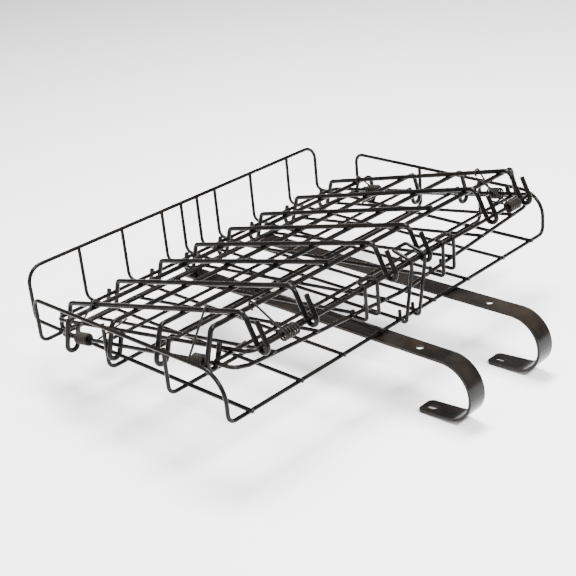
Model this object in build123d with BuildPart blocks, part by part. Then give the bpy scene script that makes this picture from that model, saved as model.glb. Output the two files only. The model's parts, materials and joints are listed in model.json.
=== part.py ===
"""Sprung wire cargo basket: a fenced wire tray with two flat hanging straps, a
sloping double ring frame fixed on the tray, and a rod deck that rides on
torsion springs above the ring frame.  Millimetres, +X along the tray, +Y from
the open front edge to the back fence, +Z up.  The pieces are drawn about the
middle of the tray floor, at the height of the long floor wires, and stored
about the row's origin: midway between the two strap holes, at mid-thickness
of the straps.  Near means the -X end of the basket and far the +X end.
"""
import math
import os

from build123d import *

# ---------------------------------------------------------------- wire sizes
D_RIM = 6.5
D_FLOOR = 6.0
D_RING = 6.5
D_RIB = 6.0
D_DECK = 8.0
D_SPRING = 3.5
D_LINK = 6.0
WELD = 0.1            # depth two crossing wires melt into each other

# ---------------------------------------------------------------- tray
TRAY_X = 350.0        # half length, first to last cross wire
FRONT = -248.0
BACK = 244.0
END_NEAR = -386.0
END_FAR = 402.0
FENCE_BACK = 98.0
FENCE_END = 76.0
CROSS_OVERHANG = 12.0
LONG_Y = (-117.0, 21.0)
LONG_BACK_Y = 186.0
CROSS_X = (-247.0, -153.0, -61.0, -15.0, 24.0, 69.0, 162.0, 263.0)
Z_CROSS = (D_RIM + D_FLOOR) / 2 - WELD
Z_LOOP = D_RIM - WELD
POST_BEND = 13.0
LOOP_BEND = 28.0
END_FRONT_BEND = 45.0
END_FAR_BEND = 18.0

# ---------------------------------------------------------------- hanging straps
STRAP_W = 36.0
STRAP_T = 4.5
STRAP_X = (-57.0, 126.0)
STRAP_BACK_Y = LONG_BACK_Y + D_RIM / 2
STRAP_REACH = 180.0   # front edge to the middle of the strap at its furthest
STRAP_DROP = 91.0
LIP_TIP_Y = FRONT - 80.0
LIP_FALL = 8.0
HOLE_D = 13.0
HOLE_Y = FRONT - 77.0
SLOT_W = 11.0
SLOT_L = 22.0
LIP_CORNER_R = 9.0
SLOT_BACK = 17.0      # slot centre to lip tip

# ---------------------------------------------------------------- sloping ring frame
RING_SLOPE = 0.17
RING_BACK_Y = 161.0
RING_NEAR_X = -367.5
RING_FAR_X = 367.5
RING_FRONT_Y = FRONT - 1.0
RING_BACK_Z = Z_LOOP + (D_RIM + D_RING) / 2 - WELD
RING_CORNER_Z = 71.0
RING_SAG_Z = 47.0
RIB_OVERHANG = 11.0
RIB_BACK_Y = RING_BACK_Y - D_RING / 2 + WELD
RIB_X = (-295.0, -205.0, -122.0, -52.0, 52.0, 122.0, 205.0, 295.0)
BAR_Y = (-219.0, -84.0, 28.0, 140.0)
BAR_X = 372.0
TOP_RING_X = 343.0
TOP_RING_FRONT_Y = FRONT - 14.0
TOP_RING_BACK_Y = 200.0
TOP_RING_BEND = 16.0

# ---------------------------------------------------------------- deck
DECK_SLOPE = 0.236
DECK_FRONT_Y = FRONT + 16.0
DECK_BACK_Y = 184.0
DECK_FRONT_Z = 141.6
RAIL_X = (-322.0, -222.0, -125.0, -42.0, 42.0, 125.0, 222.0, 322.0)
SHORT_RAILS = (2, 5)
BEARER_Y = (-208.0, -99.0, 13.0, 125.0)
BEARER_SPLAY = (17.0, 18.0, 17.0, 12.0)
BEARER_LEG = (60.0, 60.0, 58.0, 52.0)
BEARER_FINGER = 38.0
FRONT_FINGER = 46.0
BACK_LEG = 66.0
BACK_FINGER = 35.0
FRONT_HOOK_R = 10.0
SIDE_HOOK_R = 10.0
RAIL_BEND = 9.0
RAIL_FRONT_BEND = 14.0
TRAVEL = 10.0         # how far the deck can be pressed straight down
PLAY = 0.4            # least gap between a hook and the rod it goes round

# ---------------------------------------------------------------- links, bail, springs
LINK_X = ((-110.0, -82.0), (81.0, 109.0))
BAIL_X = (0.0, 33.0)
PIVOT_GAP = 0.05
COIL_R = 8.5
COIL_TURNS = 6
COIL_PITCH = 4.6
CURL_GAP = 0.5
CURL_TURN = 3.6
FRONT_SPRING_X = (-268.0, 286.0)
NEAR_SPRING_Y = (94.0, -181.0)
FAR_SPRING_FACING = -1
FAR_SPRING_Y = (94.0, -186.5)


ORIGIN = (sum(STRAP_X) / 2, HOLE_Y, WELD - (D_RIM + STRAP_T) / 2)


def ring_z(y):
    """Height of the lower ring's end rods at depth y."""
    return RING_BACK_Z + RING_SLOPE * (RING_BACK_Y - y)


def bar_z(y):
    """Height of the long bars that lie across the lower ring's end rods."""
    return ring_z(y) + (D_RING + D_RIB) / 2 - WELD


def top_ring_z(y):
    """Height of the upper ring, which lies on the long bars."""
    return bar_z(y) + (D_RING + D_RIB) / 2 - WELD


def sag_z(x):
    """Height of the lower ring's drooping front rod."""
    return RING_SAG_Z + (RING_CORNER_Z - RING_SAG_Z) * abs(x) / (RING_FAR_X - 31)


def rib_z(x, y):
    """Height of the rib at x, which runs from the front rod down to the back rod."""
    front_z = sag_z(x) + (D_RING + D_RIB) / 2 - WELD
    slope = (RING_BACK_Z - front_z) / (RIB_BACK_Y - RING_FRONT_Y)
    return front_z + slope * (y - RING_FRONT_Y)


def deck_z(y):
    """Height of the deck rails at depth y."""
    return DECK_FRONT_Z - DECK_SLOPE * (y - DECK_FRONT_Y)


def bearer_z(y):
    """Height of the rods that carry the rails from below."""
    return deck_z(y) - D_DECK + WELD


def bent_path(points, radii):
    """Draw straight runs joined by round bends inside the open BuildLine."""
    corners = [Vector(*p) for p in points]
    start = corners[0]
    for before, corner, after, radius in zip(corners, corners[1:], corners[2:], radii):
        back = (before - corner).normalized()
        ahead = (after - corner).normalized()
        half = math.radians(back.get_angle(ahead)) / 2
        if half > 1.54:
            continue
        middle = (back + ahead).normalized()
        cut = radius / math.tan(half)
        rise = radius / math.sin(half) - radius
        enter = corner + back * cut
        leave = corner + ahead * cut
        if (enter - start).length > 0.01:
            Line(start, enter)
        ThreePointArc(enter, corner + middle * rise, leave)
        start = leave
    Line(start, corners[-1])


def round_rod(points, radii, diameter):
    """Sweep a round section along a bent centre line."""
    with BuildLine() as path:
        bent_path(points, radii)
    run = (Vector(*points[1]) - Vector(*points[0])).normalized()
    with BuildSketch(Plane(origin=points[0], z_dir=run)) as section:
        Circle(diameter / 2)
    sweep(sections=section.sketch, path=path.wire())


def hook_points(bend_at, splay, leg, finger, radius, turn):
    """Corners of a J-hook as (outward, height) pairs: bend, foot, heel, tip.

    splay is the lean of the leg away from straight down, in degrees; turn is
    +1 when the finger rises outside the leg and -1 when it rises inside.
    """
    lean = math.radians(splay)
    down = (math.sin(lean), -math.cos(lean))
    side = (turn * math.cos(lean), turn * math.sin(lean))
    foot = (bend_at[0] + down[0] * leg, bend_at[1] + down[1] * leg)
    heel = (foot[0] + side[0] * 2 * radius, foot[1] + side[1] * 2 * radius)
    top = (heel[0] - down[0] * finger, heel[1] - down[1] * finger)
    return [bend_at, foot, heel, top]


def lean_to(bend_at, rod_at, spacing):
    """Splay of a leg that passes a rod at a spacing, and the rod's depth along it."""
    out = rod_at[0] - bend_at[0]
    drop = bend_at[1] - rod_at[1]
    away = math.hypot(out, drop)
    lean = math.atan2(out, drop) - math.asin(spacing / away)
    return math.degrees(lean), math.sqrt(away**2 - spacing**2)


# ================================================================ tray
with BuildPart() as tray_back_loop:
    rail_y = BACK + (D_RIM + D_FLOOR) / 2 - WELD
    round_rod(
        [
            (-TRAY_X, FRONT - CROSS_OVERHANG, Z_LOOP),
            (-TRAY_X, rail_y, Z_LOOP),
            (-TRAY_X, rail_y, FENCE_BACK),
            (TRAY_X, rail_y, FENCE_BACK),
            (TRAY_X, rail_y, Z_LOOP),
            (TRAY_X, FRONT - CROSS_OVERHANG, Z_LOOP),
        ],
        [POST_BEND, LOOP_BEND, LOOP_BEND, POST_BEND],
        D_RIM,
    )

with BuildPart() as tray_end_loop:
    round_rod(
        [
            (0, LONG_BACK_Y, 0),
            (END_NEAR, LONG_BACK_Y, 0),
            (END_NEAR, LONG_BACK_Y, FENCE_END),
            (END_NEAR, FRONT, FENCE_END),
            (END_NEAR, FRONT, 0),
            (END_FAR, FRONT, 0),
            (END_FAR, FRONT, FENCE_END),
            (END_FAR, LONG_BACK_Y, FENCE_END),
            (END_FAR, LONG_BACK_Y, 0),
            (0, LONG_BACK_Y, 0),
        ],
        [POST_BEND, POST_BEND, END_FRONT_BEND, POST_BEND]
        + [POST_BEND, END_FRONT_BEND, END_FAR_BEND, POST_BEND],
        D_RIM,
    )


def long_wire(y):
    """Long floor wire with both ends turned up as end-fence posts."""
    inset = D_RIM - WELD
    with BuildPart() as wire:
        round_rod(
            [
                (END_NEAR + inset, y, FENCE_END),
                (END_NEAR + inset, y, 0),
                (END_FAR - inset, y, 0),
                (END_FAR - inset, y, FENCE_END),
            ],
            [POST_BEND, POST_BEND],
            D_RIM,
        )
    return wire


def cross_wire(x):
    """Cross floor wire with its back end turned up as a back-fence post."""
    with BuildPart() as wire:
        round_rod(
            [
                (x, FRONT - CROSS_OVERHANG, Z_CROSS),
                (x, BACK, Z_CROSS),
                (x, BACK, FENCE_BACK),
            ],
            [POST_BEND],
            D_FLOOR,
        )
    return wire


def strap(x):
    """Flat strap welded under the long wires and curled into a hanging hook."""
    top_z = -D_RIM / 2 - STRAP_T / 2 + WELD
    low_z = top_z - STRAP_DROP
    reach_y = FRONT - STRAP_REACH
    lip_slope = math.atan2(LIP_FALL, STRAP_REACH - 80.0)
    with BuildPart() as bar:
        with BuildLine() as path:
            bent_path(
                [
                    (x, STRAP_BACK_Y, top_z),
                    (x, reach_y, top_z),
                    (x, reach_y, low_z),
                    (x, LIP_TIP_Y, low_z - LIP_FALL),
                ],
                [51.0, 43.0],
            )
        with BuildSketch(Plane(origin=(x, STRAP_BACK_Y, top_z), x_dir=(1, 0, 0), z_dir=(0, -1, 0))):
            Rectangle(STRAP_W, STRAP_T)
        sweep(path=path.wire())
        lip = Plane(
            origin=(x, LIP_TIP_Y, low_z - LIP_FALL),
            x_dir=(0, -math.cos(lip_slope), math.sin(lip_slope)),
            z_dir=(0, math.sin(lip_slope), math.cos(lip_slope)),
        )
        with BuildSketch(lip):
            with Locations((LIP_CORNER_R, 0)):
                Rectangle(LIP_CORNER_R * 2 + 4, STRAP_W + 4)
            with Locations((LIP_CORNER_R * 2, 0)):
                RectangleRounded(LIP_CORNER_R * 4, STRAP_W, LIP_CORNER_R, mode=Mode.SUBTRACT)
        extrude(amount=STRAP_T, both=True, mode=Mode.SUBTRACT)
        with BuildSketch(lip):
            with Locations((SLOT_BACK, 0)):
                SlotOverall(SLOT_L, SLOT_W)
        extrude(amount=STRAP_T, both=True, mode=Mode.SUBTRACT)
        with BuildSketch(Plane(origin=(x, HOLE_Y, top_z))):
            Circle(HOLE_D / 2)
        extrude(amount=STRAP_T, both=True, mode=Mode.SUBTRACT)
    return bar


# ================================================================ ring frame
with BuildPart() as lower_ring:
    edge_y = RING_FRONT_Y + 26.0
    round_rod(
        [
            (0, RING_BACK_Y, ring_z(RING_BACK_Y)),
            (RING_NEAR_X, RING_BACK_Y, ring_z(RING_BACK_Y)),
            (RING_NEAR_X, edge_y, ring_z(edge_y)),
            (RING_NEAR_X + 4, RING_FRONT_Y + 3, ring_z(edge_y) - 1),
            (RING_NEAR_X + 31, RING_FRONT_Y, RING_CORNER_Z),
            (0, RING_FRONT_Y, RING_SAG_Z),
            (RING_FAR_X - 31, RING_FRONT_Y, RING_CORNER_Z),
            (RING_FAR_X - 4, RING_FRONT_Y + 3, ring_z(edge_y) - 1),
            (RING_FAR_X, edge_y, ring_z(edge_y)),
            (RING_FAR_X, RING_BACK_Y, ring_z(RING_BACK_Y)),
            (0, RING_BACK_Y, ring_z(RING_BACK_Y)),
        ],
        [20.0, 12.0, 14.0, 12.0, 120.0, 12.0, 14.0, 12.0, 20.0],
        D_RING,
    )

with BuildPart() as upper_ring:
    round_rod(
        [
            (0, TOP_RING_BACK_Y, top_ring_z(TOP_RING_BACK_Y)),
            (-TOP_RING_X, TOP_RING_BACK_Y, top_ring_z(TOP_RING_BACK_Y)),
            (-TOP_RING_X, TOP_RING_FRONT_Y, top_ring_z(TOP_RING_FRONT_Y)),
            (TOP_RING_X, TOP_RING_FRONT_Y, top_ring_z(TOP_RING_FRONT_Y)),
            (TOP_RING_X, TOP_RING_BACK_Y, top_ring_z(TOP_RING_BACK_Y)),
            (0, TOP_RING_BACK_Y, top_ring_z(TOP_RING_BACK_Y)),
        ],
        [TOP_RING_BEND] * 4,
        D_RING,
    )


def rib(x):
    """Rib butted to the ring's back rod and laid over its drooping front rod."""
    ends = [(x, y, rib_z(x, y)) for y in (RING_FRONT_Y - RIB_OVERHANG, RIB_BACK_Y)]
    with BuildPart() as wire:
        round_rod(ends, [], D_RIB)
    return wire


def long_bar(y):
    """Straight bar lying across both end rods of the lower ring."""
    with BuildPart() as wire:
        round_rod([(-BAR_X, y, bar_z(y)), (BAR_X, y, bar_z(y))], [], D_RIB)
    return wire


def double_link(pair):
    """Two-legged wire link: over the upper ring's front rod, round the lower one."""
    reach = (D_RING + D_LINK) / 2 + 0.3
    top_y = TOP_RING_FRONT_Y
    top_z = top_ring_z(TOP_RING_FRONT_Y)
    leg_y = top_y - reach - 1.0
    near, far = pair
    legs = []
    for x in pair:
        low_z = sag_z(x)
        legs.append(
            [
                (x, RING_FRONT_Y + reach, low_z + 4.0),
                (x, RING_FRONT_Y + reach, low_z - reach),
                (x, leg_y, low_z - reach),
                (x, leg_y, top_z + reach + 3.0),
                (x, top_y + reach, top_z + reach + 3.0),
            ]
        )
    with BuildPart() as wire:
        round_rod(legs[0] + legs[1][::-1], [4.5, 7.0, 8.0, 5.0, 5.0, 8.0, 7.0, 4.5], D_LINK)
    return wire


# ================================================================ deck
def deck_rail(index):
    """Deck rail; full rails end in J-hooks, short ones stop at the front bearer."""
    x = RAIL_X[index]
    spacing = (D_DECK + D_RING) / 2 + PLAY
    rear_bend = (DECK_BACK_Y, deck_z(DECK_BACK_Y))
    rear_rod = (TOP_RING_BACK_Y, top_ring_z(TOP_RING_BACK_Y))
    rear_lean = lean_to(rear_bend, rear_rod, spacing)[0]
    rear = hook_points(rear_bend, rear_lean, BACK_LEG, BACK_FINGER, SIDE_HOOK_R, 1)
    back = [(x, y, z) for y, z in rear]
    radii = [RAIL_BEND, SIDE_HOOK_R - 0.01, SIDE_HOOK_R - 0.01]
    if index in SHORT_RAILS:
        start_y = BEARER_Y[0] - D_DECK
        points = [(x, start_y, deck_z(start_y))] + back
    else:
        fore_bend = (-DECK_FRONT_Y, DECK_FRONT_Z)
        fore_rod = (-TOP_RING_FRONT_Y, top_ring_z(TOP_RING_FRONT_Y))
        fore_lean, depth = lean_to(fore_bend, fore_rod, spacing)
        leg = depth + FRONT_HOOK_R - PLAY
        fore = hook_points(fore_bend, fore_lean, leg, FRONT_FINGER, FRONT_HOOK_R, 1)
        points = [(x, -y, z) for y, z in fore][::-1] + back
        radii = [FRONT_HOOK_R - 0.01, FRONT_HOOK_R - 0.01, RAIL_FRONT_BEND] + radii
    with BuildPart() as wire:
        round_rod(points, radii, D_DECK)
    return wire


def deck_bearer(index):
    """Rod under the rails, its hooks reaching outside and under the lower ring."""
    y = BEARER_Y[index]
    lean = math.radians(BEARER_SPLAY[index])
    spacing = (D_DECK + D_RING) / 2 + PLAY + TRAVEL * math.sin(lean)
    drop = bearer_z(y) - ring_z(y)
    bend_x = RING_FAR_X - drop * math.tan(lean) + spacing / math.cos(lean)
    depth = drop * math.cos(lean) + (RING_FAR_X - bend_x) * math.sin(lean)
    leg = max(BEARER_LEG[index], depth + SIDE_HOOK_R)
    at_far = hook_points(
        (bend_x, bearer_z(y)), BEARER_SPLAY[index], leg, BEARER_FINGER, SIDE_HOOK_R, -1
    )
    far = [(x, y, z) for x, z in at_far]
    near = [(-x, y, z) for x, z in at_far]
    turn = SIDE_HOOK_R - 0.01
    with BuildPart() as wire:
        round_rod(near[::-1] + far, [turn, turn, RAIL_BEND, RAIL_BEND, turn, turn], D_DECK)
    return wire


# ================================================================ latch bail
with BuildPart() as latch_bail:
    eye = (D_RIM + D_LINK) / 2 + PIVOT_GAP
    over = (D_RING + D_LINK) / 2 + 0.6
    rod_y = TOP_RING_FRONT_Y
    rod_z = top_ring_z(TOP_RING_FRONT_Y)
    side = [
        (FRONT + eye, 12.0),
        (FRONT + eye, -eye),
        (FRONT - eye, -eye),
        (rod_y - over - 1.5, rod_z - 6.0),
        (rod_y - over - 1.0, rod_z + over + 0.5),
        (FRONT + 14.0, rod_z + 17.0),
    ]
    first = [(BAIL_X[0], y, z) for y, z in side]
    second = [(BAIL_X[1], y, z) for y, z in side]
    bends = [eye - 0.01, eye - 0.01, 20.0, 5.0]
    round_rod(first + second[::-1], bends + [4.0, 4.0] + bends[::-1], D_LINK)


# ================================================================ torsion springs
def torsion_spring(axle, axis, arm_to, leg_to, sense):
    """Coil round an axle rod; one arm curls over a deck rod, a leg braces below.

    axle is the coil centre; axis points along the axle rod from the arm's end
    of the coil to the leg's end.  arm_to and leg_to are the centre of the rod
    the arm curls over and the point where the leg stops, seen along the axis.
    sense is the side of the straight arm that the coil and the curl lie on.
    """
    along = Vector(*axis).normalized()
    across = along.cross(Vector(0, 0, 1)).normalized()
    rise = across.cross(along)
    middle = Vector(*axle)
    half = COIL_TURNS * COIL_PITCH / 2

    def flat(point):
        """Distance and angle of a point seen along the axle."""
        offset = Vector(*point) - middle
        return math.hypot(offset.dot(across), offset.dot(rise)), math.atan2(
            offset.dot(rise), offset.dot(across)
        )

    def spot(radius, turn, height, centre=(0.0, 0.0)):
        """Point at a radius and turn about a centre in the coil's cross plane."""
        sideways = centre[0] + radius * math.cos(turn)
        upwards = centre[1] + radius * math.sin(turn)
        return middle + across * sideways + rise * upwards + along * height

    grip = (D_DECK + D_SPRING) / 2 + CURL_GAP
    gap, aim = flat(arm_to)
    rod = (gap * math.cos(aim), gap * math.sin(aim))
    square = aim + sense * math.acos((COIL_R - grip) / gap)
    reach, foot = flat(leg_to)
    leave = foot - sense * math.acos(COIL_R / reach)
    turns = (sense * (leave - square)) % (2 * math.pi) + 2 * math.pi * (COIL_TURNS - 1)
    curl = [spot(grip, square - sense * CURL_TURN * part, -half, rod) for part in (1, 0.5, 0)]
    steps = math.ceil(turns / (math.pi / 12))
    wound = [
        spot(COIL_R, square + sense * turns * k / steps, half * (2 * k / steps - 1))
        for k in range(steps + 1)
    ]
    tip = spot(reach, foot, half)
    ends = [(wound[0] - curl[2]).normalized(), (tip - wound[-1]).normalized()]
    with BuildPart() as coil:
        with BuildLine() as path:
            hook = ThreePointArc(*curl)
            Line(curl[2], wound[0])
            Spline(*wound, tangents=ends, tangent_scalars=(0.5, 0.5))
            Line(wound[-1], tip)
        with BuildSketch(Plane(origin=curl[0], z_dir=hook % 0)) as section:
            Circle(D_SPRING / 2)
        sweep(sections=section.sketch, path=path.wire())
    return coil


def front_spring(x):
    """Spring on the upper ring's front rod, reaching back up to the front bearer."""
    rest_z = bar_z(BAR_Y[0]) + (D_RIB + D_SPRING) / 2 + CURL_GAP
    return torsion_spring(
        (x, TOP_RING_FRONT_Y, top_ring_z(TOP_RING_FRONT_Y)),
        (1, 0, 0),
        (x, BEARER_Y[0], bearer_z(BEARER_Y[0])),
        (x, BAR_Y[0] + 6.0, rest_z),
        -1,
    )


def end_spring(rod_x, rod_z, y, rail_x, rib_x):
    """Spring on an end rod, its arm over the outermost rail, its leg on a rib."""
    half = COIL_TURNS * COIL_PITCH / 2
    facing = -1 if rod_x < 0 else FAR_SPRING_FACING
    tilt = math.hypot(1, RING_SLOPE)
    arm_y = y - facing * half / tilt
    arm_z = rod_z + facing * half * RING_SLOPE / tilt
    rise = DECK_FRONT_Z + DECK_SLOPE * DECK_FRONT_Y - arm_z
    rail_y = (arm_y + RING_SLOPE * rise) / (1 + RING_SLOPE * DECK_SLOPE)
    foot_x = rib_x + math.copysign(5.0, -rod_x)
    foot_z = rib_z(rib_x, y) + (D_RIB + D_SPRING) / 2 + CURL_GAP
    return torsion_spring(
        (rod_x, y, rod_z),
        (0, facing, -facing * RING_SLOPE),
        (rail_x, rail_y, deck_z(rail_y)),
        (foot_x, y, foot_z),
        -1 if rod_x * facing > 0 else 1,
    )


def near_end_spring(y):
    """Spring on the lower ring's near rod."""
    return end_spring(RING_NEAR_X, ring_z(y), y, RAIL_X[0], RIB_X[0])


def far_end_spring(y):
    """Spring on the upper ring's far rod."""
    return end_spring(TOP_RING_X, top_ring_z(y), y, RAIL_X[-1], RIB_X[-1])


os.makedirs("parts", exist_ok=True)
built = {
    "tray_back_loop": tray_back_loop,
    "tray_end_loop": tray_end_loop,
    "lower_ring": lower_ring,
    "upper_ring": upper_ring,
    "latch_bail": latch_bail,
}
for number, y in enumerate(LONG_Y, 1):
    built[f"tray_long_wire_{number}"] = long_wire(y)
for number, x in enumerate(CROSS_X, 1):
    built[f"tray_cross_wire_{number}"] = cross_wire(x)
for name, x in zip(("strap_near", "strap_far"), STRAP_X):
    built[name] = strap(x)
for number, x in enumerate(RIB_X, 1):
    built[f"ring_rib_{number}"] = rib(x)
for number, y in enumerate(BAR_Y, 1):
    built[f"ring_bar_{number}"] = long_bar(y)
for name, pair in zip(("link_near", "link_far"), LINK_X):
    built[name] = double_link(pair)
for index in range(len(RAIL_X)):
    built[f"deck_rail_{index + 1}"] = deck_rail(index)
for index in range(len(BEARER_Y)):
    built[f"deck_bearer_{index + 1}"] = deck_bearer(index)
springs = [
    (front_spring, FRONT_SPRING_X),
    (near_end_spring, NEAR_SPRING_Y),
    (far_end_spring, FAR_SPRING_Y),
]
for maker, places in springs:
    for number, place in enumerate(places, 1):
        built[f"{maker.__name__}_{number}"] = maker(place)
for name, builder in built.items():
    stored = Pos(-ORIGIN[0], -ORIGIN[1], -ORIGIN[2]) * builder.part
    stored.label = name
    export_step(stored, f"parts/{name}.step")
    print(name, round(stored.volume), stored.is_valid)
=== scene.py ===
import json
import math

import bpy
from mathutils import Matrix, Vector


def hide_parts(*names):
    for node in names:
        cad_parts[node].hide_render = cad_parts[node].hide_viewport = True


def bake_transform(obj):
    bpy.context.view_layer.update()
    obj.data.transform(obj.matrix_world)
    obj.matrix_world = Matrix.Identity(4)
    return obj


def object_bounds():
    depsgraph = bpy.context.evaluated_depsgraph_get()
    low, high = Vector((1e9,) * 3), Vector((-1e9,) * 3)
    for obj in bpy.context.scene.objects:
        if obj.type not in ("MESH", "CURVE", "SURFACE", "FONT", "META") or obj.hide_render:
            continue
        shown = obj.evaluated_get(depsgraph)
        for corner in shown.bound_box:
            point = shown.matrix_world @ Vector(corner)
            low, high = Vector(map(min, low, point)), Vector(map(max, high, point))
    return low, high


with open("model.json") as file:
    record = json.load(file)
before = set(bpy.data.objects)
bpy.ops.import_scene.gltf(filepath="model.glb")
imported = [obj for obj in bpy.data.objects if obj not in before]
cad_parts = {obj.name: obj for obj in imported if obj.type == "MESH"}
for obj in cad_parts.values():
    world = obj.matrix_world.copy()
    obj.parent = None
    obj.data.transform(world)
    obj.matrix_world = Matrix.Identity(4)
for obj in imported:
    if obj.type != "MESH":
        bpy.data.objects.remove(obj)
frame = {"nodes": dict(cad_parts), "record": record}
cad_low, cad_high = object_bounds()
CENTRE = (0.0, 0.0, 0.0)
WHITE = (1.0, 1.0, 1.0, 1.0)

# ------------------------------------------------------------------ camera
PLACE = Vector((-1.3545, -1.020, 0.87415))
AIM = Vector((0.63351, 0.64783, -0.42306)).normalized()
UP = Vector((0.36338, 0.23361, 0.90188)).normalized()
FIELD_OF_VIEW = math.radians(26.79)
SENSOR = 36.0
VIEW_DEPTH = 50.0

camera_data = bpy.data.cameras.new("camera")
camera_data.sensor_width = SENSOR
camera_data.lens = SENSOR / 2 / math.tan(FIELD_OF_VIEW / 2)
camera_data.clip_end = VIEW_DEPTH
camera = bpy.data.objects.new("camera", camera_data)
bpy.context.scene.collection.objects.link(camera)
right = AIM.cross(UP).normalized()
true_up = right.cross(AIM).normalized()
turn = Matrix((right, true_up, -AIM)).transposed().to_4x4()
camera.matrix_world = Matrix.Translation(PLACE) @ turn
bpy.context.scene.camera = camera

# ------------------------------------------------------------------ materials
IOR = 1.5
GLOSS = 0.13          # specular level of the black coats
CLEAR_ROUGH = 0.12
PATCH_SCALE = 14.0    # worn patches, per metre
PATCH_DETAIL = 4.0
PATCH_EDGES = (0.38, 0.68)
ROUGH_SPREAD = 0.12
GRAIN_DETAIL = 3.0
GRAIN_STRENGTH = 0.10
GRAIN_DEPTH = 0.0004


def noise(tree, place, scale, detail):
    """Noise texture in the object's own space."""
    texture = tree.nodes.new("ShaderNodeTexNoise")
    texture.inputs["Scale"].default_value = scale
    texture.inputs["Detail"].default_value = detail
    tree.links.new(place.outputs["Object"], texture.inputs["Vector"])
    return texture


def coat(name, colour, worn, rough, clear, grain):
    """Glossy black finish with a faint orange peel and slightly browner worn patches."""
    material = bpy.data.materials.new(name)
    material.use_nodes = True
    tree = material.node_tree
    shader = tree.nodes["Principled BSDF"]
    shader.inputs["Metallic"].default_value = 0.0
    shader.inputs["IOR"].default_value = IOR
    shader.inputs["Specular IOR Level"].default_value = GLOSS
    shader.inputs["Coat Weight"].default_value = clear
    shader.inputs["Coat Roughness"].default_value = CLEAR_ROUGH
    place = tree.nodes.new("ShaderNodeTexCoord")

    patches = noise(tree, place, PATCH_SCALE, PATCH_DETAIL)
    ramp = tree.nodes.new("ShaderNodeValToRGB")
    for element, edge, tint in zip(ramp.color_ramp.elements, PATCH_EDGES, (colour, worn)):
        element.position = edge
        element.color = (*tint, 1.0)
    tree.links.new(patches.outputs["Fac"], ramp.inputs["Fac"])
    tree.links.new(ramp.outputs["Color"], shader.inputs["Base Color"])

    roughness = tree.nodes.new("ShaderNodeMapRange")
    roughness.inputs["To Min"].default_value = rough
    roughness.inputs["To Max"].default_value = rough + ROUGH_SPREAD
    tree.links.new(patches.outputs["Fac"], roughness.inputs["Value"])
    tree.links.new(roughness.outputs["Result"], shader.inputs["Roughness"])

    peel = noise(tree, place, grain, GRAIN_DETAIL)
    bump = tree.nodes.new("ShaderNodeBump")
    bump.inputs["Strength"].default_value = GRAIN_STRENGTH
    bump.inputs["Distance"].default_value = GRAIN_DEPTH
    tree.links.new(peel.outputs["Fac"], bump.inputs["Height"])
    tree.links.new(bump.outputs["Normal"], shader.inputs["Normal"])
    return material


looks = {
    "rod_coat": coat(
        "rod_coat",
        colour=(0.0018, 0.0016, 0.0014),
        worn=(0.0065, 0.0050, 0.0038),
        rough=0.17,
        clear=0.0,
        grain=420.0,
    ),
    "strap_coat": coat(
        "strap_coat",
        colour=(0.0030, 0.0024, 0.0019),
        worn=(0.0140, 0.0102, 0.0074),
        rough=0.19,
        clear=0.04,
        grain=300.0,
    ),
    "spring_wire": coat(
        "spring_wire",
        colour=(0.0060, 0.0052, 0.0046),
        worn=(0.016, 0.013, 0.010),
        rough=0.22,
        clear=0.0,
        grain=500.0,
    ),
}
SHARP_EDGE = math.radians(35.0)
slot_of = {entry["node"]: entry["material_slot"] for entry in frame["record"]["subparts"]}
for node, thing in frame["nodes"].items():
    thing.data.materials.clear()
    thing.data.materials.append(looks[slot_of[node]])
    for face in thing.data.polygons:
        face.use_smooth = True
    thing.data.set_sharp_from_angle(angle=SHARP_EDGE)


def sprung_copy(node):
    """Copy of a spring that the deck press deforms, kept as its own object, with the imported
    part hidden.
    """
    spring = bpy.data.objects.new(node + "_sprung", frame["nodes"][node].data.copy())
    bpy.context.scene.collection.objects.link(spring)
    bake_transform(spring)
    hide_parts(node)


joints = frame["record"]["behaviour"]["joints"]
press = next(joint for joint in joints if joint["name"] == "deck_press")
for entry in press["deforming_nodes"]:
    sprung_copy(entry["node"])

# ------------------------------------------------------------------ studio
FLOOR_GAP = 0.0005
FLOOR_SIZE = 30.0
PAPER = (0.98, 0.98, 0.98, 1.0)
PAPER_ROUGH = 0.9
SKY_STRENGTH = 0.72

paper = bpy.data.materials.new("paper")
paper.use_nodes = True
paper_shader = paper.node_tree.nodes["Principled BSDF"]
paper_shader.inputs["Base Color"].default_value = PAPER
paper_shader.inputs["Roughness"].default_value = PAPER_ROUGH
bpy.ops.mesh.primitive_plane_add(size=FLOOR_SIZE, location=(0.0, 0.0, cad_low[2] - FLOOR_GAP))
floor = bpy.context.object
floor.name = "floor"
floor.data.materials.append(paper)

world = bpy.data.worlds.new("studio")
world.use_nodes = True
sky = world.node_tree.nodes["Background"]
sky.inputs["Color"].default_value = WHITE
sky.inputs["Strength"].default_value = SKY_STRENGTH
bpy.context.scene.world = world


def lamp(name, place, width, height, power):
    """Soft rectangular studio light aimed at the object."""
    data = bpy.data.lights.new(name, "AREA")
    data.shape = "RECTANGLE"
    data.size = width
    data.size_y = height
    data.energy = power
    light = bpy.data.objects.new(name, data)
    bpy.context.scene.collection.objects.link(light)
    light.location = place
    aim = Vector(CENTRE) - Vector(place)
    light.rotation_euler = aim.to_track_quat("-Z", "Y").to_euler()


lamp("key", place=(-0.6, -2.2, 2.6), width=0.9, height=0.6, power=260.0)
lamp("top", place=(0.4, 0.6, 2.8), width=1.4, height=0.9, power=290.0)
lamp("side", place=(-2.8, 0.6, 1.2), width=1.0, height=1.4, power=40.0)
